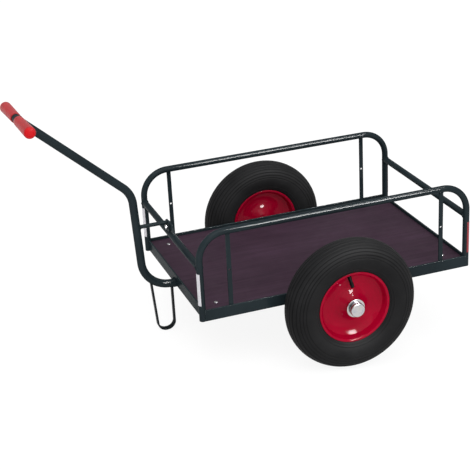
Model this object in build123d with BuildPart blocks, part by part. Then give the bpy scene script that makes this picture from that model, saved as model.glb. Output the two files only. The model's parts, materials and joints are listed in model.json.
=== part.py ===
from build123d import *
from math import asin, atan2, cos, degrees, hypot, radians, sin
import os

os.makedirs("parts", exist_ok=True)

# A two-wheeled hand cart: a flat bed in a steel rim, a bent tube hoop along each side, a bent
# drawbar with a T handle in front, and a strip stand under the drawbar.
# Everything is drawn on the level bed in mm: X forward to the handle, Y to the left, Z up from the
# underside of the bed rim. The last section sets the whole cart down on its wheels and its stand.

# Side hoops and the tubes that tie them
tube_r = 10.0
tube_wall = 2.0
leg_x = 423.0
hoop_y = 273.5
hoop_rail_z = 264.0
hoop_bend = 80.0
cross_tube_z = 165.0

# Bed rim, board and the members under it
rim_height = 35.0
rim_thick = 5.0
rim_outer_y = hoop_y + tube_r
rim_inner_y = rim_outer_y - rim_thick
side_rail_end = 418.0
end_rail_x = 422.0
board_low = 17.0
board_top = 26.0
board_x = 416.5
board_y = 278.0
bed_bolt_x = 367.0
bed_bolt_y = 230.0
bed_bolt_r = 4.0
channel_width = 30.0
channel_wall = 2.5

# Uprights of flat bar, lapped on the inside of the side rails
upright_x = 336.0
upright_width = 13.0
upright_thick = 4.0
upright_y = rim_inner_y - upright_thick / 2
upright_foot = 3.0
upright_hole_z = 144.5
upright_hole_r = 3.25

# Axle and wheels
axle_r = 10.0
axle_z = 1.5
axle_end = 405.0
wheel_y = 354.5
tyre_r = 200.0
tread_round = 59.0
tread_grooves = [6.0, 17.0, 28.0]
groove_half = 2.0
groove_depth = 2.4
rim_sheet = 2.5
hub_r = 20.0
hub_half = 37.5
running_gap = 0.05
side_gap = 0.5
washer_r = 28.0
washer_thick = 4.0
cap_r = 22.0
cap_face = 414.0
valve_r = 4.5

# Drawbar, handle and strut
bar_r = 12.5
bar_wall = 2.0
bar_bends = [88.0, 80.0]
bar_start = (386.0, 2.5)
bar_foot = (515.9, 2.5)
bar_elbow = (531.2, 313.2)
bar_tip = (836.0, 590.2)
socket_r = 14.4
socket_gap = 0.1
socket_back = 383.0
socket_front = 427.0
pin_x = 400.0
pin_r = 4.0
handle_turn = radians(3.1)
handle_half = 152.0
grip_r = 17.0
grip_inner = 14.5
grip_end = 157.0
strut_r = 6.0
strut_z = 203.5
strut_foot_width = 28.0
strut_foot_low = 176.0
lug_x = 421.0
lug_thick = 5.0
lug_r = 50.0
lug_z = 154.5
strut_bolt_z = 188.0

# Strip stand under the drawbar
stand_width = 16.0
stand_thick = 4.0
stand_bend = 25.0
stand_rear = (431.0, 0.0)
stand_heel = (431.0, -146.4)
stand_toe = (482.0, -146.4)
stand_front = (496.6, 34.0)

# Reflective strips on the legs
tape_thick = 0.5
tape_length = 99.0

pieces = {}
sides = [("left", 1), ("right", -1)]
ends = [("front", 1), ("rear", -1)]
corners = [(f"{end}_{side}", ex, sy) for end, ex in ends for side, sy in sides]

# Side hoops: one tube bent to an upside-down U, its legs running down the corners of the rim
for side, sy in sides:
    with BuildPart() as hoop:
        with BuildLine(Plane.XZ.offset(-sy * hoop_y)):
            run = FilletPolyline(
                (-leg_x, 0),
                (-leg_x, hoop_rail_z),
                (leg_x, hoop_rail_z),
                (leg_x, 0),
                radius=hoop_bend,
            )
        with BuildSketch(Plane(origin=run @ 0, z_dir=run % 0)):
            Circle(tube_r)
            Circle(tube_r - tube_wall, mode=Mode.SUBTRACT)
        sweep(path=run)
    pieces[f"hoop_{side}"] = hoop.part

# Cross tubes between the legs, with ends cut to the legs' round
for end, ex in ends:
    with BuildPart() as cross_tube:
        with BuildSketch(Plane.XZ):
            with Locations((ex * leg_x, cross_tube_z)):
                Circle(tube_r)
                Circle(tube_r - tube_wall, mode=Mode.SUBTRACT)
        extrude(amount=hoop_y, both=True)
        with BuildSketch(Plane.XY):
            with Locations((ex * leg_x, hoop_y), (ex * leg_x, -hoop_y)):
                Circle(tube_r)
        extrude(amount=hoop_rail_z, mode=Mode.SUBTRACT)
    pieces[f"cross_tube_{end}"] = cross_tube.part

# Uprights, cut to the round of the hoop's rail at the top and drilled at half height
for corner, ex, sy in corners:
    with BuildPart() as upright:
        with BuildSketch(Plane.XY.offset(upright_foot)):
            with Locations((ex * upright_x, sy * upright_y)):
                Rectangle(upright_width, upright_thick)
        extrude(amount=hoop_rail_z - upright_foot)
        with BuildSketch(Plane.YZ.offset(ex * upright_x)):
            with Locations((sy * hoop_y, hoop_rail_z)):
                Circle(tube_r)
        extrude(amount=upright_width, both=True, mode=Mode.SUBTRACT)
        with BuildSketch(Plane.XZ):
            with Locations((ex * upright_x, upright_hole_z)):
                Circle(upright_hole_r)
        extrude(amount=rim_outer_y, both=True, mode=Mode.SUBTRACT)
    pieces[f"upright_{corner}"] = upright.part

# Side rails of flat bar on edge, flush with the legs outside and notched over the axle
for side, sy in sides:
    with BuildPart() as side_rail:
        with BuildSketch(Plane.XY):
            with Locations((0, sy * (rim_outer_y - rim_thick / 2))):
                Rectangle(2 * side_rail_end, rim_thick)
            with Locations((leg_x, sy * hoop_y), (-leg_x, sy * hoop_y)):
                Circle(tube_r, mode=Mode.SUBTRACT)
        extrude(amount=rim_height)
        with BuildSketch(Plane.XZ):
            with Locations((0, axle_z)):
                Circle(axle_r)
        extrude(amount=axle_end, both=True, mode=Mode.SUBTRACT)
    pieces[f"side_rail_{side}"] = side_rail.part

# End rails between the legs; the front one is cut out over the drawbar socket
for end, ex in ends:
    with BuildPart() as end_rail:
        with BuildSketch(Plane.XY):
            with Locations((ex * (end_rail_x - rim_thick / 2), 0)):
                Rectangle(rim_thick, 2 * hoop_y)
            with Locations((ex * leg_x, hoop_y), (ex * leg_x, -hoop_y)):
                Circle(tube_r, mode=Mode.SUBTRACT)
        extrude(amount=rim_height)
        if end == "front":
            with BuildSketch(Plane.YZ):
                with Locations((0, bar_start[1])):
                    Circle(socket_r)
            extrude(amount=leg_x, mode=Mode.SUBTRACT)
    pieces[f"end_rail_{end}"] = end_rail.part

# Bed board of film-faced plywood, notched round the legs and the uprights
with BuildPart() as bed_board:
    with BuildSketch(Plane.XY.offset(board_low)):
        Rectangle(2 * board_x, 2 * board_y)
        with GridLocations(2 * leg_x, 2 * hoop_y, 2, 2):
            Rectangle(2 * tube_r + 2, 2 * tube_r + 2, mode=Mode.SUBTRACT)
        with GridLocations(2 * upright_x, 2 * upright_y, 2, 2):
            Rectangle(upright_width + 2, upright_thick + 3, mode=Mode.SUBTRACT)
        with GridLocations(2 * bed_bolt_x, 2 * bed_bolt_y, 2, 2):
            Circle(bed_bolt_r, mode=Mode.SUBTRACT)
    extrude(amount=board_top - board_low)
pieces["bed_board"] = bed_board.part

# Bed members: channels turned open side down, from side rail to side rail under the board
for end, ex in ends:
    with BuildPart() as bed_member:
        with BuildSketch(Plane.XZ):
            with Locations((ex * bed_bolt_x, board_low / 2)):
                Rectangle(channel_width, board_low)
            with Locations((ex * bed_bolt_x, (board_low - channel_wall) / 2)):
                Rectangle(channel_width - 2 * channel_wall, board_low - channel_wall, mode=Mode.SUBTRACT)
        extrude(amount=rim_inner_y, both=True)
        with BuildSketch(Plane.XY):
            with Locations((ex * bed_bolt_x, bed_bolt_y), (ex * bed_bolt_x, -bed_bolt_y)):
                Circle(bed_bolt_r)
        extrude(amount=board_low, mode=Mode.SUBTRACT)
    pieces[f"bed_member_{end}"] = bed_member.part

# Axle beam: the same channel over the axle, between the axle plates
axle_plate_y = rim_inner_y - rim_thick
with BuildPart() as axle_beam:
    with BuildSketch(Plane.XZ):
        with Locations((0, board_low / 2)):
            Rectangle(channel_width, board_low)
        with Locations((0, (board_low - channel_wall) / 2)):
            Rectangle(channel_width - 2 * channel_wall, board_low - channel_wall, mode=Mode.SUBTRACT)
    extrude(amount=axle_plate_y, both=True)
pieces["axle_beam"] = axle_beam.part

# Axle plates welded inside the side rails, with the axle through them
for side, sy in sides:
    with BuildPart() as axle_plate:
        with BuildSketch(Plane.XZ.offset(-sy * (rim_inner_y - rim_thick / 2))):
            with BuildLine():
                Polyline(
                    (-60, board_low),
                    (60, board_low),
                    (60, 2),
                    (28, -16),
                    (-28, -16),
                    (-60, 2),
                    close=True,
                )
            make_face()
            with Locations((0, axle_z)):
                Circle(axle_r, mode=Mode.SUBTRACT)
        extrude(amount=rim_thick / 2, both=True)
    pieces[f"axle_plate_{side}"] = axle_plate.part

# Axle: one round bar from cap to cap
with BuildPart() as axle:
    with BuildSketch(Plane.XZ):
        with Locations((0, axle_z)):
            Circle(axle_r)
    extrude(amount=axle_end, both=True)
pieces["axle"] = axle.part

# Wheels: ribbed tyre, pressed rim of two dished halves, hub and valve, turned about the axle
spin = Axis((0, 0, axle_z), (0, 1, 0))
tread_line = [(0, tyre_r)]
for groove in tread_grooves:
    for across_tread, depth in ((groove - groove_half, 0), (groove, groove_depth), (groove + groove_half, 0)):
        crown_drop = tread_round - (tread_round**2 - across_tread**2) ** 0.5
        tread_line.append((across_tread, tyre_r - crown_drop - depth))
for side, sy in sides:
    wheel_plane = Plane(origin=(0, sy * wheel_y, axle_z), x_dir=(0, sy, 0), z_dir=(sy, 0, 0))

    with BuildPart() as tyre:
        with BuildSketch(wheel_plane):
            with BuildLine():
                half_section = Polyline(
                    *tread_line,
                    (35.0, 188.5),
                    (46.3, 170.2),
                    (49.3, 148.9),
                    (45.3, 127.7),
                    (33.0, 110.0),
                    (24.0, 102.8),
                    (31.0, 180.0),
                    (0, 180.0),
                )
                mirror(half_section, about=Plane.YZ)
            make_face()
        revolve(axis=spin)
    pieces[f"tyre_{side}"] = tyre.part

    with BuildPart() as rim:
        with BuildSketch(wheel_plane):
            with BuildLine():
                FilletPolyline(
                    (34.25, 108.75),
                    (34.25, 103.8),
                    (13.1, 98.3),
                    (-9.4, 65.8),
                    (29.2, 10.0),
                    radius=[3.5, 4.0, 49.0],
                )
            trace(line_width=rim_sheet)
            mirror(about=Plane.YZ)
            Rectangle(4 * hub_half, 2 * hub_r, mode=Mode.SUBTRACT)
        revolve(axis=spin)
    pieces[f"rim_{side}"] = rim.part

    with BuildPart() as hub:
        with BuildSketch(wheel_plane):
            with Locations((0, (hub_r + axle_r + running_gap) / 2)):
                Rectangle(2 * hub_half, hub_r - axle_r - running_gap)
        revolve(axis=spin)
    pieces[f"hub_{side}"] = hub.part

    with BuildPart() as valve:
        valve_root = (6.0, sy * (wheel_y + 8.9), axle_z + 89.9)
        with BuildSketch(Plane(origin=valve_root, z_dir=(-0.05, sy * 0.66, -0.75))):
            Circle(valve_r)
        extrude(amount=36.0)
        add(rim.part, mode=Mode.SUBTRACT)
    pieces[f"valve_{side}"] = valve.part

    # Spacer, washer and push-on cap that hold the wheel on the axle
    with BuildPart() as spacer:
        with BuildSketch(wheel_plane):
            with BuildLine():
                Polyline(
                    (rim_outer_y - wheel_y, axle_r),
                    (rim_outer_y - wheel_y, 15.0),
                    (-hub_half - side_gap, 15.0),
                    (-hub_half - side_gap, axle_r),
                    close=True,
                )
            make_face()
        revolve(axis=spin)
    pieces[f"spacer_{side}"] = spacer.part

    with BuildPart() as washer:
        with BuildSketch(wheel_plane):
            with Locations((hub_half + side_gap + washer_thick / 2, (washer_r + axle_r) / 2)):
                Rectangle(washer_thick, washer_r - axle_r)
        revolve(axis=spin)
    pieces[f"washer_{side}"] = washer.part

    cap_back = hub_half + side_gap + washer_thick
    cap_front = cap_face - wheel_y
    with BuildPart() as cap:
        with BuildSketch(wheel_plane):
            with BuildLine():
                Polyline(
                    (cap_back, axle_r),
                    (cap_back, cap_r),
                    (cap_front - 4, cap_r),
                    (cap_front, cap_r - 4),
                    (cap_front, 0),
                    (axle_end - wheel_y, 0),
                    (axle_end - wheel_y, axle_r),
                    close=True,
                )
            make_face()
        revolve(axis=spin)
    pieces[f"cap_{side}"] = cap.part

# Drawbar: a tube that leaves the socket level, turns up in front of the bed and leans to the handle
with BuildPart() as bar_core:
    with BuildLine(Plane.XZ):
        bar_run = FilletPolyline(bar_start, bar_foot, bar_elbow, bar_tip, radius=bar_bends)
    with BuildSketch(Plane(origin=bar_run @ 0, z_dir=bar_run % 0)):
        Circle(bar_r)
    sweep(path=bar_run)

lean = Vector(bar_tip[0] - bar_elbow[0], 0, bar_tip[1] - bar_elbow[1]).normalized()
across = Vector(0, cos(handle_turn), 0) + lean.cross(Vector(0, sin(handle_turn), 0))
handle_plane = Plane(origin=(bar_tip[0], 0, bar_tip[1]), x_dir=lean, z_dir=across)
with BuildPart() as drawbar:
    add(bar_core.part)
    with BuildSketch(Plane(origin=bar_run @ 0, z_dir=bar_run % 0)):
        Circle(bar_r - bar_wall)
    sweep(path=bar_run, mode=Mode.SUBTRACT)
    with BuildSketch(handle_plane):
        Circle(bar_r)
    extrude(amount=handle_half, both=True, mode=Mode.SUBTRACT)
    with BuildSketch(Plane.XZ):
        with Locations((pin_x, bar_start[1])):
            Circle(pin_r)
    extrude(amount=socket_r, both=True, mode=Mode.SUBTRACT)
pieces["drawbar"] = drawbar.part

# Socket pipe under the front of the bed, and the cross bolt that keeps the drawbar in it
with BuildPart() as drawbar_socket:
    with BuildSketch(Plane.YZ.offset(socket_back)):
        with Locations((0, bar_start[1])):
            Circle(socket_r)
            Circle(bar_r + socket_gap, mode=Mode.SUBTRACT)
    extrude(amount=socket_front - socket_back)
    with BuildSketch(Plane.XZ):
        with Locations((pin_x, bar_start[1])):
            Circle(pin_r)
    extrude(amount=socket_r, both=True, mode=Mode.SUBTRACT)
pieces["drawbar_socket"] = drawbar_socket.part

with BuildPart() as socket_bolt:
    with BuildSketch(Plane.XZ):
        with Locations((pin_x, bar_start[1])):
            Circle(pin_r)
    extrude(amount=socket_r + 1, both=True)
    for sy in (1, -1):
        with BuildSketch(Plane.XZ.offset(sy * (socket_r + 3.5))):
            with Locations((pin_x, bar_start[1])):
                RegularPolygon(6.5, 6, major_radius=False)
        extrude(amount=2.75, both=True)
pieces["socket_bolt"] = socket_bolt.part

# T handle welded across the drawbar's end with a slight turn, and a moulded grip on each half
with BuildPart() as handle_bar:
    with BuildSketch(handle_plane):
        Circle(bar_r)
        Circle(bar_r - bar_wall, mode=Mode.SUBTRACT)
    extrude(amount=handle_half, both=True)
pieces["handle_bar"] = handle_bar.part

for side, sy in sides:
    with BuildPart() as grip:
        with BuildSketch(handle_plane.offset(sy * grip_inner)):
            Circle(grip_r)
        extrude(amount=sy * (grip_end - grip_inner))
        fillet(grip.faces().sort_by(Axis.Y)[-1 if sy > 0 else 0].edges(), radius=5)
        with BuildSketch(handle_plane.offset(sy * grip_inner)):
            Circle(bar_r)
        extrude(amount=sy * (handle_half - grip_inner), mode=Mode.SUBTRACT)
    pieces[f"grip_{side}"] = grip.part

# Half-round lug on the front cross tube, the strut with its foot plate, and the bolt between them
with BuildPart() as lug:
    with BuildSketch(Plane.YZ.offset(lug_x)):
        with Locations((0, lug_z)):
            Circle(lug_r)
        with Locations((0, cross_tube_z - lug_r)):
            Rectangle(2 * lug_r, 2 * lug_r, mode=Mode.SUBTRACT)
    extrude(amount=lug_thick)
    with BuildSketch(Plane.XZ):
        with Locations((leg_x, cross_tube_z)):
            Circle(tube_r)
    extrude(amount=lug_r, both=True, mode=Mode.SUBTRACT)
    with BuildSketch(Plane.YZ):
        with Locations((0, strut_bolt_z)):
            Circle(pin_r)
    extrude(amount=bar_foot[0], mode=Mode.SUBTRACT)
pieces["strut_lug"] = lug.part

foot_x = lug_x + lug_thick
strut_foot_top = strut_z + strut_r
with BuildPart() as strut:
    with BuildSketch(Plane.YZ.offset(foot_x)):
        with Locations((0, (strut_foot_top + strut_foot_low) / 2)):
            RectangleRounded(strut_foot_width, strut_foot_top - strut_foot_low, 5)
    extrude(amount=lug_thick)
    with BuildSketch(Plane.YZ.offset(foot_x)):
        with Locations((0, strut_z)):
            Circle(strut_r)
    extrude(amount=bar_elbow[0] - foot_x)
    with BuildSketch(Plane.YZ):
        with Locations((0, strut_bolt_z)):
            Circle(pin_r)
    extrude(amount=foot_x + lug_thick, mode=Mode.SUBTRACT)
    rise = (bar_elbow[0] - bar_foot[0], 0, bar_elbow[1] - bar_foot[1])
    with BuildSketch(Plane(origin=(bar_foot[0], 0, bar_foot[1]), z_dir=rise)):
        Circle(bar_r)
    extrude(amount=bar_elbow[1], mode=Mode.SUBTRACT)
pieces["strut"] = strut.part

with BuildPart() as strut_bolt:
    with BuildSketch(Plane.YZ.offset(lug_x - 1)):
        with Locations((0, strut_bolt_z)):
            Circle(pin_r)
    extrude(amount=2 * lug_thick + 2)
    with BuildSketch(Plane.YZ.offset(foot_x + lug_thick)):
        with Locations((0, strut_bolt_z)):
            RegularPolygon(6.5, 6, major_radius=False)
    extrude(amount=5.5)
    with BuildSketch(Plane.YZ.offset(lug_x)):
        with Locations((0, strut_bolt_z)):
            RegularPolygon(6.5, 6, major_radius=False)
    extrude(amount=-6.5)
pieces["strut_bolt"] = strut_bolt.part

# Stand: one flat strip bent to a U, its ends cut to the drawbar's round and welded to it
with BuildPart() as stand:
    with BuildLine(Plane.XZ):
        stand_run = FilletPolyline(stand_rear, stand_heel, stand_toe, stand_front, radius=stand_bend)
    with BuildSketch(Plane(origin=stand_run @ 0, x_dir=(1, 0, 0), z_dir=stand_run % 0)):
        Rectangle(stand_thick, stand_width)
    sweep(path=stand_run)
    add(bar_core.part, mode=Mode.SUBTRACT)
pieces["stand"] = stand.part

# Reflective strips wrapped on the legs: white forward, red rearward and turned a little outward
strips = [("front", 1, 50.0, 0.0, 65.0), ("rear", -1, 46.0, 38.0, 58.0)]
for end, ex, low, turn, wrap in strips:
    for side, sy in sides:
        middle = sy * turn if ex > 0 else 180 - sy * turn
        first, last = radians(middle - wrap), radians(middle + wrap)
        outer_r = tube_r + tape_thick
        with BuildPart() as tape:
            with BuildSketch(Plane((ex * leg_x, sy * hoop_y, low))):
                with BuildLine():
                    CenterArc((0, 0), tube_r, middle - wrap, 2 * wrap)
                    CenterArc((0, 0), outer_r, middle - wrap, 2 * wrap)
                    for edge in (first, last):
                        Line(
                            (tube_r * cos(edge), tube_r * sin(edge)),
                            (outer_r * cos(edge), outer_r * sin(edge)),
                        )
                make_face()
            extrude(amount=tape_length)
        pieces[f"reflector_{end}_{side}"] = tape.part

# Parked stance: the nose drops until the stand's toe bend and both wheels stand on one floor
toe_rise = atan2(stand_front[0] - stand_toe[0], stand_front[1] - stand_toe[1])
toe_set = stand_bend * (1 - sin(toe_rise)) / cos(toe_rise)
toe_x = stand_toe[0] + toe_set * sin(toe_rise) - stand_bend * cos(toe_rise)
toe_drop = axle_z - (stand_toe[1] + stand_bend)
toe_lift = tyre_r - stand_bend - stand_thick / 2
nose_down = asin(toe_lift / hypot(toe_x, toe_drop)) - atan2(toe_drop, toe_x)
turned = Location((0, 0, 0), (0, degrees(nose_down), 0))
box = Compound(children=[piece.moved(turned) for piece in pieces.values()]).bounding_box()
floor_z = axle_z * cos(nose_down) - tyre_r
stance = Location((-(box.min.X + box.max.X) / 2, 0, -floor_z), (0, degrees(nose_down), 0))

for label, piece in pieces.items():
    parked = piece.moved(stance)
    parked.label = label
    export_step(parked, f"parts/{label}.step")

print("nose down, degrees", round(degrees(nose_down), 4), "size", box.size)
print("shift", round(-(box.min.X + box.max.X) / 2, 4), round(-floor_z, 4), "pieces", len(pieces))
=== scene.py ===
import json
from math import cos, pi, radians, sin

import bmesh
import bpy
import numpy as np
from mathutils import Matrix, Vector


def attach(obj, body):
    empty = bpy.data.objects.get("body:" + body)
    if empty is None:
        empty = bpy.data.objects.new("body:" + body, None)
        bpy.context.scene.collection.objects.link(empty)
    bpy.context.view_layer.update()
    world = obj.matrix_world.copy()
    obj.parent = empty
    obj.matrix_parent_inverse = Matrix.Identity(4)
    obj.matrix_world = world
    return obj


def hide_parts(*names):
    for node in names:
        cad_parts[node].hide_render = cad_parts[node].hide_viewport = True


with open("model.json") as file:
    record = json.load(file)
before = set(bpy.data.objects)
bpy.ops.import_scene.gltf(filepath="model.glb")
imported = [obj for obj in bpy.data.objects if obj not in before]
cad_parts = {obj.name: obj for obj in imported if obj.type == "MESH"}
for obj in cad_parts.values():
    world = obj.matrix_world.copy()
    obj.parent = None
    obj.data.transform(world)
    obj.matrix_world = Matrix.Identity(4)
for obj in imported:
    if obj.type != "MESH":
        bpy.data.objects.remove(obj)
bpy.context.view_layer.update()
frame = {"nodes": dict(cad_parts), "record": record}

# Parked slope: the cart rests nose down on its two tyres and its stand, so the bed slopes a little.
# Every piece is worked out in metres on the level bed, ahead, left and up from the middle of the rim's
# underside, and then laid on that slope.
board_top = 0.026
deck = next(mount for mount in frame["record"]["mounts"] if mount["name"] == "deck")
up = np.array(deck["axis"])
ahead = np.array([up[2], 0.0, -up[0]])
left = np.array([0.0, 1.0, 0.0])
bed_middle = np.array(deck["pos_m"]) - board_top * up
slope = float(np.arctan2(up[0], up[2]))
sides = (("left", 1), ("right", -1))
ends = (("front", 1), ("rear", -1))


def parked(points):
    """Rows of (ahead, left, up) on the level bed, as the same sums of the sloping bed's three directions."""
    return bed_middle + np.asarray(points, float) @ np.stack([ahead, left, up])


# Side hoops: one steel tube each, 20 mm across, cold bent to an upside-down U whose legs stand in the corners
# of the bed. They carry the frame's anthracite stove enamel, glossy with a fine orange peel.
tube_radius = 0.010
tube_wall = 0.002
leg_ahead = 0.423
hoop_left = 0.2735
hoop_height = 0.264
hoop_bend = 0.080


def rounded(corners, radii, steps=14):
    """A line of straight runs through the corners, each inner corner replaced by an arc that touches both
    runs: its middle lies on the corner's bisector, and its points turn evenly from one run to the other."""
    corners = np.asarray(corners, float)
    line = [corners[:1]]
    for before, corner, after, radius in zip(
        corners, corners[1:], corners[2:], np.broadcast_to(radii, len(corners) - 2)
    ):
        back = (before - corner) / np.linalg.norm(before - corner)
        on = (after - corner) / np.linalg.norm(after - corner)
        half = 0.5 * np.arccos(np.clip(back @ on, -1, 1))
        middle = corner + radius / np.sin(half) * (back + on) / np.linalg.norm(back + on)
        first = corner + radius / np.tan(half) * back - middle
        last = corner + radius / np.tan(half) * on - middle
        turn = pi - 2 * half
        share = np.linspace(0, 1, steps + 1)[:, None]
        arc = np.sin((1 - share) * turn) * first + np.sin(share * turn) * last
        line.append(middle + arc / np.sin(turn))
    return np.concatenate(line + [corners[-1:]])


def carried(line, y, outline):
    """An outline of (out, sideways) points carried along a line of (ahead, up) rows in the upright plane
    at y: at each row it stands square to the line's mean direction there."""
    run = np.diff(line, axis=0)
    run /= np.linalg.norm(run, axis=1, keepdims=True)
    way = np.concatenate([run[:1], run[:-1] + run[1:], run[-1:]])
    way /= np.linalg.norm(way, axis=1, keepdims=True)
    outline = np.broadcast_to(outline, (len(line),) + np.shape(outline)[-2:])
    x = line[:, :1] - way[:, 1:] * outline[..., 0]
    z = line[:, 1:] + way[:, :1] * outline[..., 0]
    return np.stack([x, y + outline[..., 1], z], axis=-1)


def open_tube(line, y, radius, wall, around=36):
    """A circle carried along the line; at both ends it closes in over the wall and runs back down the
    bore, 50 mm deep."""
    deep = 0.05
    into = deep * (line[1] - line[0]) / np.linalg.norm(line[1] - line[0])
    back = deep * (line[-2] - line[-1]) / np.linalg.norm(line[-2] - line[-1])
    turn = np.linspace(0, 2 * pi, around, endpoint=False)
    circle = np.stack([np.cos(turn), np.sin(turn)], axis=1)
    outside = carried(line, y, radius * circle)
    mouth = carried(line, y, (radius - wall) * circle)
    step_in = np.array([into[0], 0, into[1]])
    step_back = np.array([back[0], 0, back[1]])
    return np.concatenate([mouth[:1] + step_in, mouth[:1], outside, mouth[-1:], mouth[-1:] + step_back])


def skin(name, grids, ring=False):
    """One mesh from grids of points, rows by columns: neighbours join as quads and the last column meets the
    first; the end rows are closed by a face each or, in a ring, by one another."""
    points, faces, count = [], [], 0
    for grid in grids:
        rows, around = grid.shape[:2]
        index = count + np.arange(rows * around).reshape(rows, around)
        count += rows * around
        if ring:
            index = np.concatenate([index, index[:1]])
        else:
            faces += [index[0][::-1].tolist(), index[-1].tolist()]
        beside = np.roll(index, -1, axis=1)
        faces += np.stack([index[:-1], beside[:-1], beside[1:], index[1:]], axis=-1).reshape(-1, 4).tolist()
        points.append(parked(grid.reshape(-1, 3)))
    mesh = bpy.data.meshes.new(name)
    mesh.from_pydata(np.concatenate(points).tolist(), [], faces)
    form = bmesh.new()
    form.from_mesh(mesh)
    bmesh.ops.remove_doubles(form, verts=form.verts, dist=1e-6)
    bmesh.ops.recalc_face_normals(form, faces=form.faces)
    form.to_mesh(mesh)
    form.free()
    mesh.shade_smooth()
    mesh.set_sharp_from_angle(angle=radians(38))
    piece = bpy.data.objects.new(name, mesh)
    bpy.context.collection.objects.link(piece)
    return piece


def fit(piece, body, slot, material, *solids):
    """Gives a piece its finish, fixes it to its body, and lets it stand for the solids that it covers."""
    piece.data.materials.clear()
    piece.data.materials.append(material)
    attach(piece, body)
    if solids:
        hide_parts(*solids)


def shade(red, green, blue):
    """A colour read from 0 to 255, as the linear values that a shader takes."""
    level = np.array([red, green, blue]) / 255
    linear = np.where(level <= 0.04045, level / 12.92, ((level + 0.055) / 1.055) ** 2.4)
    return (*linear.tolist(), 1.0)


def blank_finish(name, **constants):
    """A new material with constants set on its shader, and the place on the piece that its patterns read."""
    material = bpy.data.materials.new(name)
    material.use_nodes = True
    tree = material.node_tree
    shader = tree.nodes["Principled BSDF"]
    for key, value in constants.items():
        shader.inputs[key.replace("_", " ")].default_value = value
    place = tree.nodes.new("ShaderNodeTexCoord").outputs["Object"]
    return material, tree, shader, place


def add(tree, kind, **settings):
    """Adds a shader node; each setting is an input by its name, a value or a socket to link, or else a
    property."""
    made = tree.nodes.new("ShaderNode" + kind)
    for key, value in settings.items():
        socket = made.inputs.get(key.replace("_", " "))
        if socket is None:
            setattr(made, key, value)
        elif isinstance(value, bpy.types.NodeSocket):
            tree.links.new(value, socket)
        else:
            socket.default_value = value
    return made


def ramp(tree, factor, *stops):
    """A colour that changes with a factor through stops of (place from 0 to 1, colour)."""
    made = add(tree, "ValToRGB", Fac=factor)
    elements = made.color_ramp.elements
    while len(elements) < len(stops):
        elements.new(1.0)
    for element, (place, colour) in zip(elements, stops):
        element.position = place
        element.color = colour
    return made.outputs["Color"]


def between(tree, factor, low, high):
    """A number that goes from low to high as a noise factor goes through its usual reach."""
    return add(tree, "MapRange", Value=factor, From_Min=0.3, From_Max=0.7, To_Min=low, To_Max=high).outputs[0]


def noise(tree, place, scale, detail):
    """A soft random pattern over a place, with so many waves to the metre."""
    return add(tree, "TexNoise", Vector=place, Scale=scale, Detail=detail).outputs["Fac"]


def wire(tree, shader, colour, roughness, height, strength, depth):
    """Links a shader to its colour, its roughness and a bump whose strength and depth in metres are given."""
    tree.links.new(colour, shader.inputs["Base Color"])
    tree.links.new(roughness, shader.inputs["Roughness"])
    bump = add(tree, "Bump", Height=height, Strength=strength, Distance=depth)
    tree.links.new(bump.outputs[0], shader.inputs["Normal"])


def stove_enamel(name, deep, thin, edge, gloss):
    """Baked paint: its tone drifts over a hand's width and lightens along edges, where it runs thin; a thin
    clear face gives the shine, duller in patches, and an orange peel 1.5 mm across ripples it."""
    material, tree, shader, place = blank_finish(
        name, Specular_IOR_Level=0.008, Coat_Weight=gloss, Coat_IOR=4.0, Coat_Roughness=0.03
    )
    drift = noise(tree, place, 8.0, 4.0)
    body = ramp(tree, drift, (0.36, deep), (0.64, thin))
    chips = noise(tree, place, 160.0, 3.0)
    wear_and_sheen = add(tree, "MapRange", Value=chips, From_Min=0.35, From_Max=0.70, To_Max=0.60).outputs[0]
    worn = add(tree, "Math", operation="MULTIPLY")
    tree.links.new(add(tree, "Attribute", attribute_name="edge").outputs["Fac"], worn.inputs[0])
    tree.links.new(wear_and_sheen, worn.inputs[1])
    colour = add(tree, "MixRGB", Fac=worn.outputs[0], Color1=body, Color2=edge)
    patches = noise(tree, place, 35.0, 5.0)
    peel = noise(tree, place, 650.0, 1.0)
    wire(tree, shader, colour.outputs[0], between(tree, patches, 0.17, 0.30), peel, 0.015, 0.0002)
    return material


anthracite = stove_enamel(
    "anthracite_enamel", shade(30, 39, 43), shade(36, 46, 50), shade(92, 102, 104), gloss=0.018
)

hoop_line = rounded(
    [(-leg_ahead, 0), (-leg_ahead, hoop_height), (leg_ahead, hoop_height), (leg_ahead, 0)], hoop_bend, 20
)
for side, sy in sides:
    hoop = skin(f"{side}_hoop", [open_tube(hoop_line, sy * hoop_left, tube_radius, tube_wall)])
    fit(hoop, "cart", "frame_paint", anthracite, f"hoop_{side}")

# Cross tubes: the same tube, one between the two front legs and one between the two rear legs. Their ends
# are coped to the legs' round and welded all the way round.
cross_height = 0.165


def turned(profile, start, axis, around=48):
    """A lathe form: each (along, radius) row of the profile becomes a circle about the axis through start."""
    axis = np.array(axis, float) / np.linalg.norm(axis)
    across = np.cross(axis, np.eye(3)[np.argmin(np.abs(axis))])
    across /= np.linalg.norm(across)
    turn = np.linspace(0, 2 * pi, around, endpoint=False)
    circle = np.cos(turn)[:, None] * across + np.sin(turn)[:, None] * np.cross(axis, across)
    profile = np.asarray(profile, float)
    return np.array(start) + profile[:, :1, None] * axis + profile[:, 1:, None] * circle


for end, ex in ends:
    cross_line = [(-hoop_left, tube_radius), (hoop_left, tube_radius)]
    cross = turned(cross_line, (ex * leg_ahead, 0, cross_height), (0, 1, 0), 36)
    fit(skin(f"{end}_cross_tube", [cross]), "cart", "frame_paint", anthracite, f"cross_tube_{end}")

# Bed rim: four lengths of hot rolled flat bar, 35 by 5 mm, on edge between the legs. Rolling leaves their
# edges slightly round, and the enamel runs thin there.
rail_edge = 0.0009


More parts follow.
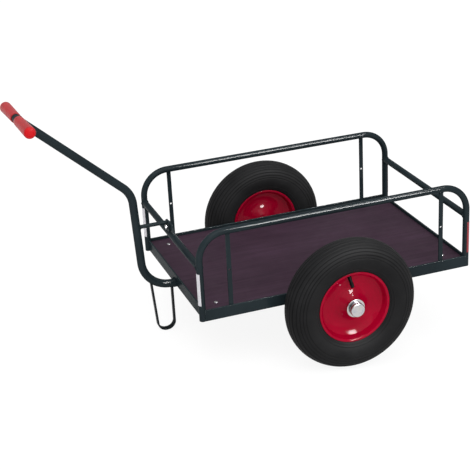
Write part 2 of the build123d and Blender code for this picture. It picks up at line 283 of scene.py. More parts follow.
def eased(name, solid, edge_round):
    """A copy of a flat piece's solid: its loose triangles are merged, its flat faces made whole, and each
    edge gets a small round, marked as the edge where paint runs thin."""
    mesh = frame["nodes"][solid].data.copy()
    mesh.name = name
    form = bmesh.new()
    form.from_mesh(mesh)
    bmesh.ops.remove_doubles(form, verts=form.verts, dist=1e-6)
    bmesh.ops.dissolve_limit(form, angle_limit=radians(1.5), verts=form.verts, edges=form.edges)
    mark = form.faces.layers.float.new("edge")
    corners = [edge for edge in form.edges if edge.is_manifold and edge.calc_face_angle() > radians(35)]
    rounds = bmesh.ops.bevel(
        form, geom=corners, offset=edge_round, segments=3, profile=0.5, affect="EDGES", clamp_overlap=True
    )
    for face in rounds["faces"]:
        face[mark] = 1.0
    form.to_mesh(mesh)
    form.free()
    if "custom_normal" in mesh.attributes:
        mesh.attributes.remove(mesh.attributes["custom_normal"])
    mesh.shade_smooth()
    mesh.set_sharp_from_angle(angle=radians(42))
    piece = bpy.data.objects.new(name, mesh)
    bpy.context.collection.objects.link(piece)
    piece.modifiers.new("flat_faces", "WEIGHTED_NORMAL").keep_sharp = True
    return piece


for side, sy in sides:
    rail = eased(f"{side}_rim_rail", f"side_rail_{side}", rail_edge)
    fit(rail, "cart", "frame_paint", anthracite, f"side_rail_{side}")
for end, ex in ends:
    rail = eased(f"{end}_rim_rail", f"end_rail_{end}", rail_edge)
    fit(rail, "cart", "frame_paint", anthracite, f"end_rail_{end}")

# Uprights: four pieces of flat bar, 13 by 4 mm, from the side rail to the hoop's rail, each drilled through
# at half height so that boards can be screwed on.
upright_ahead = 0.336
upright_left = 0.2765
bar_edge = 0.0006
for end, ex in ends:
    for side, sy in sides:
        upright = eased(f"{end}_{side}_upright", f"upright_{end}_{side}", bar_edge)
        fit(upright, "cart", "frame_paint", anthracite, f"upright_{end}_{side}")

# Welds of the frame: small rippled beads laid where the cross tubes, the rails and the uprights meet the
# hoops. They were painted over with the rest.
rail_height = 0.035
rail_outer = 0.2835
end_rail_outer = 0.422
leg_side = 0.0098
seam_low = 0.0015
seam_high = 0.0345
upright_flank = 0.0066
cope_reach = 0.0106
round_bead = 0.0017
rail_bead = 0.0018
ledge_bead = 0.0015
thin_bead = 0.0014
foot_left = 0.2783
ledge_left = 0.2788
upright_face = 0.0023
ripple_length = 0.0026
ripple_swell = 0.14
seam_step = 0.0006


def bead(seam, size, beside):
    """A weld bead: circles round a seam of points, square to it, whose size swells by a seventh at every
    ripple, as each drop of the puddle set; beside is a direction that the seam never follows."""
    way = np.gradient(seam, axis=0)
    way /= np.linalg.norm(way, axis=1, keepdims=True)
    across = np.cross(way, beside)
    across /= np.linalg.norm(across, axis=1, keepdims=True)
    over = np.cross(way, across)
    step = np.linalg.norm(np.diff(seam, axis=0), axis=1)
    run = np.concatenate([[0], np.cumsum(step)])
    reach = size * (1 + ripple_swell * np.sin(2 * pi * run / ripple_length))
    turn = np.linspace(0, 2 * pi, 10, endpoint=False)
    circle = np.cos(turn)[:, None] * across[:, None] + np.sin(turn)[:, None] * over[:, None]
    return seam[:, None] + reach[:, None, None] * circle


def straight_seam(start, finish):
    """Points from start to finish, about a seam step apart."""
    start = np.array(start, float)
    finish = np.array(finish, float)
    count = max(8, int(np.linalg.norm(finish - start) / seam_step))
    return start + np.linspace(0, 1, count)[:, None] * (finish - start)


weld_turn = np.linspace(0, 2 * pi, 104, endpoint=False)
cope = np.sqrt(np.maximum(tube_radius**2 - (tube_radius * np.cos(weld_turn)) ** 2, 0))
cope_seams = []
for end, ex in ends:
    for side, sy in sides:
        seam = np.stack(
            [
                ex * leg_ahead + cope_reach * np.cos(weld_turn),
                sy * (hoop_left - 0.0008 - cope * 0.94),
                cross_height + cope_reach * np.sin(weld_turn),
            ],
            axis=1,
        )
        cope_seams.append(bead(seam, round_bead, (0, 1, 0)))
weld_enamel = stove_enamel(
    "weld_enamel", shade(30, 39, 43), shade(36, 46, 50), shade(92, 102, 104), gloss=0.004
)
fit(skin("cross_tube_welds", cope_seams, ring=True), "cart", "frame_paint", weld_enamel)

flat_seams = []
for ex in (1, -1):
    for sy in (1, -1):
        leg_spot = (ex * (leg_ahead - leg_side), sy * (rail_outer - 0.0020))
        leg_seam = straight_seam((*leg_spot, seam_low), (*leg_spot, seam_high))
        flat_seams.append(bead(leg_seam, rail_bead, (0, 1, 0)))
        end_spot = (ex * (end_rail_outer - 0.0003), sy * (hoop_left - leg_side))
        end_seam = straight_seam((*end_spot, seam_low), (*end_spot, seam_high))
        flat_seams.append(bead(end_seam, rail_bead, (1, 0, 0)))
        for way in (1, -1):
            flank = ex * upright_ahead + way * upright_flank
            foot = straight_seam((flank, sy * foot_left, 0.027), (flank, sy * foot_left, rail_height - 0.001))
            flat_seams.append(bead(foot, thin_bead, (1, 0, 0)))
        ledge = straight_seam(
            (ex * upright_ahead - upright_flank, sy * ledge_left, rail_height),
            (ex * upright_ahead + upright_flank, sy * ledge_left, rail_height),
        )
        flat_seams.append(bead(ledge, ledge_bead, (0, 1, 0)))
        for face in (upright_face, -upright_face):
            y = sy * (upright_left + face * 0.95)
            top = hoop_height - np.sqrt(tube_radius**2 - (abs(y) - hoop_left) ** 2)
            head = straight_seam(
                (ex * upright_ahead - upright_flank, y, top - 0.0002),
                (ex * upright_ahead + upright_flank, y, top - 0.0002),
            )
            flat_seams.append(bead(head, thin_bead, (0, 1, 0)))
fit(skin("frame_welds", flat_seams), "cart", "frame_paint", weld_enamel)

# Under the bed: two channels folded from 2.5 mm sheet carry the board, a third lies over the axle, and two
# plates welded inside the side rails hold the axle. All are enamelled with the frame.
sheet_edge = 0.0007
for end, ex in ends:
    member = eased(f"{end}_channel", f"bed_member_{end}", sheet_edge)
    fit(member, "cart", "frame_paint", anthracite, f"bed_member_{end}")
fit(eased("axle_channel", "axle_beam", sheet_edge), "cart", "frame_paint", anthracite, "axle_beam")
for side, sy in sides:
    plate = eased(f"{side}_axle_plate", f"axle_plate_{side}", sheet_edge)
    fit(plate, "cart", "frame_paint", anthracite, f"axle_plate_{side}")

# Bed board: 9 mm birch plywood with a dark brown phenolic film pressed on both faces. The veneer's grain
# shows faintly through the film, and the sawn edges show the plies under a brushed-on sealer.
board_edge = 0.0006
ply_pair = 0.0027


def film_faced_ply(name):
    """Film-faced plywood: a dark film whose tone follows long grain streaks and soft scuffs; in the sawn
    edges, found by the height within the board, pale and dark plies alternate."""
    material, tree, shader, place = blank_finish(name, Specular_IOR_Level=0.06)
    level = add(tree, "Mapping", Vector=place, Rotation=(0, -slope, 0)).outputs[0]
    streak = add(tree, "Mapping", Vector=level, Scale=(5.0, 90.0, 90.0)).outputs[0]
    grain = add(tree, "TexNoise", Vector=streak, Scale=1.0, Detail=6.0, Roughness=0.6).outputs["Fac"]
    cloud = noise(tree, level, 6.0, 4.0)
    blend = add(tree, "MixRGB", Fac=0.45, Color1=grain, Color2=cloud).outputs[0]
    film = ramp(tree, blend, (0.34, shade(48, 33, 45)), (0.52, shade(58, 41, 54)), (0.70, shade(67, 48, 64)))
    split = add(tree, "SeparateXYZ", Vector=level).outputs["Z"]
    plies = add(tree, "Math", operation="SINE")
    count = add(tree, "Math", operation="MULTIPLY")
    tree.links.new(split, count.inputs[0])
    count.inputs[1].default_value = 2 * pi / ply_pair
    tree.links.new(count.outputs[0], plies.inputs[0])
    sealed = ramp(tree, plies.outputs[0], (0.0, shade(52, 36, 34)), (1.0, shade(96, 70, 56)))
    facing = add(tree, "NewGeometry").outputs["Normal"]
    upward = add(tree, "VectorMath", operation="DOT_PRODUCT")
    tree.links.new(facing, upward.inputs[0])
    upward.inputs[1].default_value = up.tolist()
    flat = add(tree, "Math", operation="ABSOLUTE")
    tree.links.new(upward.outputs["Value"], flat.inputs[0])
    skinned = add(tree, "MapRange", Value=flat.outputs[0], From_Min=0.4, From_Max=0.6).outputs[0]
    colour = add(tree, "MixRGB", Fac=skinned, Color1=sealed, Color2=film)
    scuff = noise(tree, level, 28.0, 6.0)
    wire(tree, shader, colour.outputs[0], between(tree, scuff, 0.54, 0.70), grain, 0.16, 0.0004)
    return material


board = eased("board", "bed_board", board_edge)
fit(board, "cart", "bed_ply", film_faced_ply("film_faced_plywood"), "bed_board")

# Board bolts: four domed coach bolts through the board and the channels, zinc plated and gone dull, each with
# a washer and a hexagon nut below the channel.
bolt_ahead = 0.367
bolt_left = 0.230
dome_radius = 0.0066
dome_height = 0.0028
dome_lip = 0.0006
dome_sunk = 0.001
nut_flats = 0.013
bolt_dullness = 0.45


def hexagon(low, high, across_flats, start, axis, chamfer=0.0006):
    """A six-sided prism with its corners turned off at both faces: at each angle the radius is the hexagon's,
    or the turning cone's where that is less."""
    axis = np.array(axis, float)
    beside = np.cross(axis, np.eye(3)[np.argmin(np.abs(axis))])
    turn = np.linspace(0, 2 * pi, 72, endpoint=False)
    six = across_flats / 2 / np.cos((turn + pi / 6) % (pi / 3) - pi / 6)
    lower = [low, low, low + chamfer, low + 2 * chamfer]
    along = np.array(lower + [high - 2 * chamfer, high - chamfer, high, high])
    cone = across_flats / 2 * np.array([0.0, 0.94, 1.06, 1.2, 1.2, 1.06, 0.94, 0.0])
    radius = np.minimum(six, cone[:, None])
    circle = np.cos(turn)[:, None] * beside + np.sin(turn)[:, None] * np.cross(axis, beside)
    return np.array(start) + along[:, None, None] * axis + radius[..., None] * circle


def bright_zinc(name):
    """Zinc plating: a pale metal whose tone drifts between bluish and yellowish, with a fine grain and duller
    in patches where it was handled; a number on each point darkens it: dull, greasy zinc on the bolts, and
    painted shade on the axle cap's sides beside the washer."""
    material, tree, shader, place = blank_finish(name, Metallic=1.0)
    drift = noise(tree, place, 60.0, 4.0)
    bluish, pale, yellowish = shade(176, 177, 184), shade(194, 191, 192), shade(186, 182, 172)
    tone = ramp(tree, drift, (0.3, bluish), (0.55, pale), (0.75, yellowish))
    grease_and_shade = add(tree, "Attribute", attribute_name="grease_and_shade").outputs["Fac"]
    colour = add(tree, "MixRGB", Fac=grease_and_shade, Color1=tone, Color2=shade(34, 26, 29))
    smear = noise(tree, place, 220.0, 5.0)
    fine = noise(tree, place, 1500.0, 2.0)
    wire(tree, shader, colour.outputs[0], between(tree, smear, 0.14, 0.28), fine, 0.08, 0.0001)
    return material


def marked(piece, name, values):
    """Gives every point of a piece a number, which its finish reads by name."""
    piece.data.attributes.new(name, "FLOAT", "POINT").data.foreach_set("value", values)


zinc = bright_zinc("bright_zinc")
dome_arc = np.linspace(0, 0.5 * pi, 9)
dome_rise = board_top + dome_lip + dome_height * np.sin(dome_arc)
dome = np.stack([dome_rise, dome_radius * np.cos(dome_arc)], axis=1)
dome = np.concatenate([[(board_top - dome_sunk, 0.0), (board_top - dome_sunk, dome_radius)], dome])
shank = [(0.0020, 0.0), (0.0020, 0.0034), (0.0024, 0.0038), (board_top, 0.0038), (board_top, 0.0)]
pad = [(0.0129, 0.0), (0.0129, 0.0080), (0.0145, 0.0080), (0.0145, 0.0)]
bolts = []
for ex in (1, -1):
    for sy in (1, -1):
        spot = (ex * bolt_ahead, sy * bolt_left, 0.0)
        bolts += [turned(dome, spot, (0, 0, 1), 32), turned(shank, spot, (0, 0, 1), 24)]
        bolts += [turned(pad, spot, (0, 0, 1), 32), hexagon(0.0064, 0.0129, nut_flats, spot, (0, 0, 1))]
coach_bolts = skin("board_bolts", bolts)
marked(coach_bolts, "grease_and_shade", np.full(len(coach_bolts.data.vertices), bolt_dullness))
fit(coach_bolts, "cart", "plating", zinc)

# Axle: one straight bar of drawn round steel, 20 mm thick, with a spacer tube between the frame and each
# wheel. Both were left bare and oiled, so they are greyer than the plated pieces.
axle_radius = 0.010
axle_height = 0.0015
axle_reach = 0.405
spacer_radius = 0.015
hub_inner_face = 0.3165


def drawn_steel(name):
    """Oiled drawn steel: mid grey, streaked along the bar with fine die lines and a few brown stains."""
    material, tree, shader, place = blank_finish(name, Metallic=0.9)
    along = add(tree, "Mapping", Vector=place, Scale=(400.0, 12.0, 400.0)).outputs[0]
    lines = noise(tree, along, 1.0, 4.0)
    grey = ramp(tree, lines, (0.3, shade(104, 104, 106)), (0.7, shade(142, 141, 140)))
    stain = noise(tree, place, 45.0, 6.0)
    spots = add(tree, "MapRange", Value=stain, From_Min=0.60, From_Max=0.72, To_Max=0.6).outputs[0]
    colour = add(tree, "MixRGB", Fac=spots, Color1=grey, Color2=shade(84, 62, 46))
    wire(tree, shader, colour.outputs[0], between(tree, stain, 0.30, 0.5), lines, 0.10, 0.0001)
    return material


steel = drawn_steel("drawn_steel")
axle_middle = (0.0, 0.0, axle_height)
axle_profile = [
    (-axle_reach, 0.0), (-axle_reach, 0.0085), (-axle_reach + 0.0015, axle_radius),
    (axle_reach - 0.0015, axle_radius), (axle_reach, 0.0085), (axle_reach, 0.0),
]
fit(skin("axle_bar", [turned(axle_profile, axle_middle, (0, 1, 0))]), "cart", "axle_steel", steel, "axle")
spacer_profile = rounded(
    [
        (rail_outer, axle_radius), (rail_outer, spacer_radius),
        (hub_inner_face, spacer_radius), (hub_inner_face, axle_radius),
    ],
    0.0008,
    4,
)
for side, sy in sides:
    spacer = skin(f"{side}_spacer_tube", [turned(spacer_profile, axle_middle, (0, sy, 0))], ring=True)
    fit(spacer, "cart", "axle_steel", steel, f"spacer_{side}")

# Tyres: moulded rubber, 400 by 100 mm, with a tread of plain ribs round the crown, shallow ribs over each
# shoulder, smooth flanks and two rim lines beside the bead. Mould dust keeps the rubber matt, and the
# grooves are painted near black as shade.
wheel_left = 0.3545
crown_radius = 0.200
crown_round = 0.059
tread_half = 0.035
tread_grooves = np.array([-0.028, -0.017, -0.006, 0.006, 0.017, 0.028])
tread_depth = 0.0024
tread_vee = 0.0020
shoulder_grooves = np.array([0.1845, 0.1755, 0.1665, 0.1575])
shoulder_depth = 0.0011
shoulder_vee = 0.0014
rim_lines = np.array([0.1235, 0.1170])
rim_line_height = 0.0008
rim_line_vee = 0.0016
tyre_steps = 144


def arc_through(start, by, finish, count):
    """Points on the circle through three points: its middle is where the two chords' bisectors cross."""
    start, by, finish = (np.array(point, float) for point in (start, by, finish))
    chords = np.stack([by - start, finish - by])
    middle = np.linalg.solve(chords, np.sum(chords * np.stack([by + start, finish + by]) / 2, axis=1))
    begin, half, stop = (np.arctan2(*(point - middle)[::-1]) for point in (start, by, finish))
    first = (half - begin + pi) % (2 * pi) - pi
    second = (stop - half + pi) % (2 * pi) - pi
    turn = begin + (first + second) * np.linspace(0, 1, count)
    return middle + np.linalg.norm(start - middle) * np.stack([np.cos(turn), np.sin(turn)], axis=1)


def vees(place, centres, half):
    """How deep a row of V grooves is at each place, from none at half a groove's width from the nearest
    centre to all at the centre itself."""
    return np.clip(1 - np.min(np.abs(place[:, None] - centres), axis=1) / half, 0, 1)


def tyre_section():
    """Rows of (across, radius) once round the tyre: the crown's arc with its V grooves, the flank's arc with
    shoulder grooves and two raised rings, the bead, and straight back along the inside; with them, how deep
    in a groove each row lies."""
    across = np.linspace(-tread_half, tread_half, 211)
    crown = crown_radius - crown_round + np.sqrt(crown_round**2 - across**2)
    tread_cuts = vees(across, tread_grooves, tread_vee)
    crown = np.stack([across, crown - tread_depth * tread_cuts], axis=1)
    flank = arc_through((tread_half, 0.1885), (0.0493, 0.152), (0.033, 0.110), 130)[1:]
    outward = flank - np.array([0.0, 0.150])
    outward /= np.linalg.norm(outward, axis=1, keepdims=True)
    rings = vees(flank[:, 1], rim_lines, rim_line_vee)
    cuts = vees(flank[:, 1], shoulder_grooves, shoulder_vee)
    flank = flank + outward * (rim_line_height * rings - shoulder_depth * cuts)[:, None]
    inside = np.array([(0.0250, 0.1033), (0.0240, 0.1040), (0.0310, 0.180)])
    one_side = np.concatenate([flank, inside])
    section = np.concatenate([crown, one_side, one_side[::-1] * np.array([-1, 1])])
    on_side = np.concatenate([cuts, np.zeros(len(inside))])
    return section, np.concatenate([tread_cuts, on_side, on_side[::-1]])


def moulded_rubber(name):
    """Tyre rubber: charcoal with grey bloom in soft clouds, a little dust held in the fine moulded grain, and
    hardly any shine; down in the grooves it is painted near black as shade."""
    material, tree, shader, place = blank_finish(name, Specular_IOR_Level=0.06)
    bloom = noise(tree, place, 11.0, 5.0)
    dark, mid, grey = shade(26, 26, 27), shade(32, 32, 33), shade(40, 40, 41)
    charcoal = ramp(tree, bloom, (0.32, dark), (0.55, mid), (0.75, grey))
    # Painted shade: the deeper a point lies in a groove, the nearer black it is painted.
    cut = add(tree, "Attribute", attribute_name="cut").outputs["Fac"]
    colour = add(tree, "MixRGB", Fac=cut, Color1=charcoal, Color2=shade(8, 8, 9))
    grain = noise(tree, place, 900.0, 3.0)
    wire(tree, shader, colour.outputs[0], between(tree, bloom, 0.52, 0.66), grain, 0.22, 0.0003)
    return material


rubber = moulded_rubber("moulded_rubber")
for side, sy in sides:
    middle = (0.0, sy * wheel_left, axle_height)
    section, cut = tyre_section()
    tyre = skin(f"{side}_tyre", [turned(section, middle, (0, sy, 0), tyre_steps)], ring=True)
    # How deep in a groove each point lies, read by the rubber as painted shade.
    marked(tyre, "cut", np.repeat(cut, tyre_steps))
    fit(tyre, f"wheel_{side}", "tyre_rubber", rubber, f"tyre_{side}")

# Wheel rims: two dished halves pressed from 2.5 mm sheet, spot welded back to back and welded to a hub tube,
# then stove enamelled bright red.
hub_radius = 0.020
hub_half = 0.0375
hub_bore = 0.01005
dish_corners = [(0.03425, 0.10875), (0.03425, 0.1038), (0.0135, 0.0983), (-0.0138, 0.0658), (0.0288, 0.0150)]
dish_rounds = [0.0035, 0.0034, 0.0490]
rim_sheet = 0.0025
rim_steps = 96
hub_weld_out = 0.0267
hub_bead = 0.0019
hub_seam = hub_radius * 1.04


def pressed(line, thick):
    """A sheet's outline: the line moved half the thickness to one side, back along its other side, and a half
    circle round its first end."""
    way = np.gradient(line, axis=0)
    way /= np.linalg.norm(way, axis=1, keepdims=True)
    across = thick / 2 * np.stack([way[:, 1], -way[:, 0]], axis=1)
    turn = np.linspace(pi, 0, 7)[1:-1, None]
    lip = line[0] + np.cos(turn) * across[0] - np.sin(turn) * thick / 2 * way[0]
    return np.concatenate([line + across, (line - across)[::-1], lip])


hub_corners = [
    (0.0, hub_bore), (hub_half, hub_bore), (hub_half, hub_radius),
    (-hub_half, hub_radius), (-hub_half, hub_bore), (0.0, hub_bore),
]
red_enamel = stove_enamel("red_enamel", shade(160, 3, 40), shade(172, 4, 44), shade(196, 40, 60), gloss=0.018)
for side, sy in sides:
    middle = (0.0, sy * wheel_left, axle_height)
    dish = pressed(rounded(dish_corners, dish_rounds, 18), rim_sheet)
    halves = [turned(dish, middle, (0, way * sy, 0), rim_steps) for way in (1, -1)]
    hub_line = rounded(hub_corners, 0.0010, 4)[:-1]
    rim = skin(f"{side}_rim", halves, ring=True)
    fit(rim, f"wheel_{side}", "rim_paint", red_enamel, f"rim_{side}")
    hub = skin(f"{side}_hub_tube", [turned(hub_line, middle, (0, sy, 0), 48)], ring=True)
    fit(hub, f"wheel_{side}", "rim_paint", red_enamel, f"hub_{side}")
    round_hub = np.linspace(0, 2 * pi, 180, endpoint=False)
    hub_welds = []
    for face in (hub_weld_out, -hub_weld_out):
        seam = np.stack(
            [
                hub_seam * np.cos(round_hub),
                np.full_like(round_hub, sy * wheel_left + face),
                axle_height + hub_seam * np.sin(round_hub),
            ],
            axis=1,
        )
        hub_welds.append(bead(seam, hub_bead, (0, 1, 0)))
    fit(skin(f"{side}_hub_welds", hub_welds, ring=True), f"wheel_{side}", "rim_paint", red_enamel)

# Valves: one black rubber stem leans through the dish of each rim. A moulded foot seals it to the sheet, and
# a plastic cap, ribbed for the fingers, is screwed on its end.
valve_root = (0.006, 0.0089, 0.0914)
valve_way = (-0.05, 0.66, -0.75)
valve_steps = 40
rib_depth = 0.05
valve_profile = rounded(
    [
        (0.0, 0.0), (0.0, 0.0070), (0.0040, 0.0068), (0.0070, 0.0058), (0.0180, 0.0055), (0.0195, 0.0055),
        (0.0195, 0.0048), (0.0210, 0.0048), (0.0210, 0.0056), (0.0350, 0.0054), (0.0360, 0.0038),
        (0.0360, 0.0),
    ],
    0.0004,
    3,
)


def soft_black(name):
    """Valve rubber and cap: near black, with a slight bloom and a satin face."""
    material, tree, shader, place = blank_finish(name, Specular_IOR_Level=0.04)
    bloom = noise(tree, place, 140.0, 4.0)
    black = ramp(tree, bloom, (0.3, shade(8, 8, 9)), (0.7, shade(16, 16, 17)))
    fine = noise(tree, place, 1600.0, 2.0)
    wire(tree, shader, black, between(tree, bloom, 0.35, 0.5), fine, 0.15, 0.0001)
    return material


valve_black = soft_black("valve_black")
for side, sy in sides:
    root = (valve_root[0], sy * (wheel_left + valve_root[1]), valve_root[2])
    way = np.array([valve_way[0], sy * valve_way[1], valve_way[2]])
    stem = turned(valve_profile, root, way, valve_steps)
    axis_points = np.array(root) + valve_profile[:, :1, None] * (way / np.linalg.norm(way))
    on_cap = (valve_profile[:, 0] > 0.0214) & (valve_profile[:, 0] < 0.0347)
    ribs = np.sign(np.cos(np.linspace(0, valve_steps * pi, valve_steps, endpoint=False)))
    knurl = 1 + rib_depth * on_cap[:, None] * ribs
    stem = axis_points + (stem - axis_points) * knurl[..., None]
    fit(skin(f"{side}_valve_stem", [stem]), f"wheel_{side}", "valve_rubber", valve_black, f"valve_{side}")

# Wheel fastening: a broad washer and a pressed push-on cap hold each wheel on the axle. Both are zinc plated
# and bright; the cap's sides next to the washer are darkened with painted shade.
washer_inner_face = 0.3925
washer_outer_face = 0.3965
washer_radius = 0.028
cap_radius = 0.022
cap_face = 0.414
# Painted shade on the cap's sides: how far short of the face it stops, how fast it fades, how dark it gets.
cap_shade_start = 0.0050
cap_shade_fade = 0.0030
cap_shade_most = 0.9


def places(piece):
    """The points of a piece as they lie on the sloping bed, one row each."""
    run = np.empty(3 * len(piece.data.vertices))
    piece.data.vertices.foreach_get("co", run)
    return run.reshape(-1, 3)


washer_profile = rounded(
    [
        (washer_inner_face, axle_radius), (washer_inner_face, washer_radius),
        (washer_outer_face, washer_radius), (washer_outer_face, axle_radius),
    ],
    0.0010,
    4,
)
cap_profile = rounded(
    [
        (washer_outer_face, axle_radius), (washer_outer_face, cap_radius),
        (cap_face - 0.0008, cap_radius - 0.0004), (cap_face, 0.0),
    ],
    [0.0008, 0.0045],
    8,
)
for side, sy in sides:
    washer = skin(f"{side}_wheel_washer", [turned(washer_profile, axle_middle, (0, sy, 0), 72)], ring=True)
    fit(washer, "cart", "plating", zinc, f"washer_{side}")
    cap = skin(f"{side}_axle_cap", [turned(cap_profile, axle_middle, (0, sy, 0), 72)])
    # Painted shade: the cap's side is darkened from the washer out to 5 mm short of its bright face.
    cap_shade = np.clip((cap_face - cap_shade_start - np.abs(places(cap)[:, 1])) / cap_shade_fade, 0, cap_shade_most)
    marked(cap, "grease_and_shade", cap_shade)
    fit(cap, "cart", "plating", zinc, f"cap_{side}")

# Drawbar socket: a short length of pipe welded in the front rail's cut-out under the board, with a cross bolt
# behind the rail that keeps the drawbar from pulling out.
bar_height = 0.0025
socket_back = 0.383
socket_front = 0.427
socket_radius = 0.0144
socket_bore = 0.0126
pin_ahead = 0.400
socket_corners = [
    (socket_back, socket_bore), (socket_back, socket_radius),
    (socket_front, socket_radius), (socket_front, socket_bore),
]
socket_profile = rounded(socket_corners, 0.0007, 4)
socket = skin("socket_pipe", [turned(socket_profile, (0, 0, bar_height), (1, 0, 0))], ring=True)
fit(socket, "cart", "frame_paint", anthracite, "drawbar_socket")
pin_spot = (pin_ahead, 0, bar_height)
pin_shank = [(-0.0225, 0.0), (-0.0225, 0.0034), (-0.0220, 0.0040), (0.0160, 0.0040), (0.0160, 0.0)]
pin = [
    turned(pin_shank, pin_spot, (0, 1, 0), 24),
    hexagon(0.01515, 0.02065, nut_flats, pin_spot, (0, 1, 0)),
    hexagon(-0.02065, -0.01515, nut_flats, pin_spot, (0, 1, 0)),
]
fit(skin("socket_cross_bolt", pin), "cart", "plating", zinc, "socket_bolt")
upper_turn = np.linspace(-0.05 * pi, 1.05 * pi, 80)
socket_seam = np.stack(
    [
        np.full_like(upper_turn, end_rail_outer + 0.0004),
        (socket_radius + 0.0004) * np.cos(upper_turn),
        bar_height + (socket_radius + 0.0004) * np.sin(upper_turn),
    ],
    axis=1,
)
fit(skin("socket_weld", [bead(socket_seam, round_bead, (1, 0, 0))]), "cart", "frame_paint", weld_enamel)

# Drawbar and T handle: 25 mm tube bent twice, so that it leaves the socket level, turns up in front of the
# bed and leans to the handle; a straight cross bar is welded on its end, turned by some 3 degrees.
bar_radius = 0.0125
bar_wall = 0.002
bar_bends = [0.088, 0.080]
bar_start = (0.386, bar_height)
bar_foot = (0.5159, bar_height)
bar_elbow = (0.5312, 0.3132)
bar_tip = (0.836, 0.5902)
handle_half = 0.152
handle_turn = radians(3.1)
lean = np.array(bar_tip) - np.array(bar_elbow)
lean /= np.linalg.norm(lean)
bar_line = rounded([bar_start, bar_foot, bar_elbow, np.array(bar_tip) - 0.006 * lean], bar_bends, 28)
drawbar = skin("bent_drawbar", [open_tube(bar_line, 0, bar_radius, bar_wall, 44)])
fit(drawbar, "cart", "frame_paint", anthracite, "drawbar")
tip = np.array([bar_tip[0], 0, bar_tip[1]])
bar_way = np.array([lean[0], 0, lean[1]])
handle_way = cos(handle_turn) * left + sin(handle_turn) * np.cross(bar_way, left)
handle_over = np.cross(bar_way, handle_way)
cross_bar = turned([(-handle_half, bar_radius), (handle_half, bar_radius)], tip, handle_way, 44)
fit(skin("handle_cross_bar", [cross_bar]), "cart", "frame_paint", anthracite, "handle_bar")
seam_reach = 0.0130
beside = seam_reach * np.cos(weld_turn)[:, None]
below = 0.0006 + np.sqrt(bar_radius**2 - (0.94 * beside) ** 2)
on_along = seam_reach * np.sin(weld_turn)[:, None]
handle_seam = tip - below * bar_way + beside * handle_over + on_along * handle_way
handle_weld = skin("handle_weld", [bead(handle_seam, rail_bead, bar_way)], ring=True)
fit(handle_weld, "cart", "frame_paint", weld_enamel)

# Grips: two red vinyl sleeves pushed on the cross bar, a little thicker towards their rounded, closed ends.
# Their satin skin is painted milky, partly as wear and partly as painted sheen, except on the ends.
grip_radius = 0.017
grip_inner = 0.0185
grip_end = 0.157
clear_end = 0.003
wear_and_sheen_fade = 0.005
grip_profile = rounded(
    [
        (grip_inner, bar_radius), (grip_inner, 0.0152), (0.030, 0.0155), (0.120, 0.0166),
        (0.1500, grip_radius), (grip_end - 0.0012, 0.0120), (grip_end - 0.0012, 0.0085),
        (grip_end, 0.0075), (grip_end, 0.0),
    ],
    [0.0012, 0.050, 0.050, 0.0060, 0.0020, 0.0005, 0.0008],
    8,
)


def satin_vinyl(name):
    """Grip vinyl: red, milky over the body, partly as hand wear and partly as painted sheen, and clear red on
    the closed ends; slightly uneven in tone, its fine moulded grain making it satin."""
    material, tree, shader, place = blank_finish(name, Specular_IOR_Level=0.12)
    cloud = noise(tree, place, 40.0, 4.0)
    red = ramp(tree, cloud, (0.3, shade(166, 36, 42)), (0.7, shade(184, 52, 56)))
    # Painted sheen: where the number is 1 the red is painted milky, standing partly for wear and partly for
    # sheen.
    wear_and_sheen = add(tree, "Attribute", attribute_name="wear_and_sheen").outputs["Fac"]
    colour = add(tree, "MixRGB", Fac=wear_and_sheen, Color1=shade(206, 12, 22), Color2=red)
    grain = noise(tree, place, 1100.0, 2.0)
    wire(tree, shader, colour.outputs[0], between(tree, cloud, 0.34, 0.46), grain, 0.16, 0.0002)
    return material


vinyl = satin_vinyl("satin_vinyl")
for side, sy in sides:
    grip = skin(f"{side}_grip_sleeve", [turned(grip_profile, tip, sy * handle_way, 56)])
    grip_root, grip_way = parked(np.stack([tip, tip + sy * handle_way]))
    along_grip = (places(grip) - grip_root) @ (grip_way - grip_root)
    # 1 over the body, painted milky as wear and as sheen; 0 on the last 3 mm of the closed end.
    marked(grip, "wear_and_sheen", np.clip((grip_end - clear_end - along_grip) / wear_and_sheen_fade, 0, 1))
    fit(grip, "cart", "grip_plastic", vinyl, f"grip_{side}")

# Strut: a 12 mm rod from the upright part of the drawbar to a foot plate, bolted to a half-round lug that is
# welded on the front cross tube. The bolt's head is bright; its nut and end were painted with the frame.
strut_height = 0.2035
strut_radius = 0.006
fit(eased("strut_rod", "strut", bar_edge), "cart", "frame_paint", anthracite, "strut")
fit(eased("cross_tube_lug", "strut_lug", bar_edge), "cart", "frame_paint", anthracite, "strut_lug")
strut_spot = (0.0, 0.0, 0.188)
strut_shank = [(0.4125, 0.0), (0.4125, 0.0034), (0.4130, 0.0040), (0.4315, 0.0040), (0.4315, 0.0)]
strut_head = [hexagon(0.4310, 0.4365, nut_flats, strut_spot, (1, 0, 0))]
painted_end = [
    turned(strut_shank, strut_spot, (1, 0, 0), 24),
    hexagon(0.4145, 0.4210, nut_flats, strut_spot, (1, 0, 0)),
]
fit(skin("strut_fixing_bolt", strut_head), "cart", "plating", zinc, "strut_bolt")
fit(skin("strut_fixing_nut", painted_end), "cart", "frame_paint", weld_enamel)
rod_reach = strut_radius + 0.0005
rod_y = rod_reach * np.cos(weld_turn)
rod_z = strut_height + rod_reach * np.sin(weld_turn)
bar_share = (rod_z - bar_foot[1]) / (bar_elbow[1] - bar_foot[1])
rod_x = bar_foot[0] + bar_share * (bar_elbow[0] - bar_foot[0]) - np.sqrt(bar_radius**2 - rod_y**2)
rod_seam = np.stack([rod_x, rod_y, rod_z], axis=1)
rod_weld = skin("strut_rod_weld", [bead(rod_seam, thin_bead, (1, 0, 0))], ring=True)
fit(rod_weld, "cart", "frame_paint", weld_enamel)
lug_half = 0.0455
lug_faces = (0.4262, 0.4208)
lug_seams = []
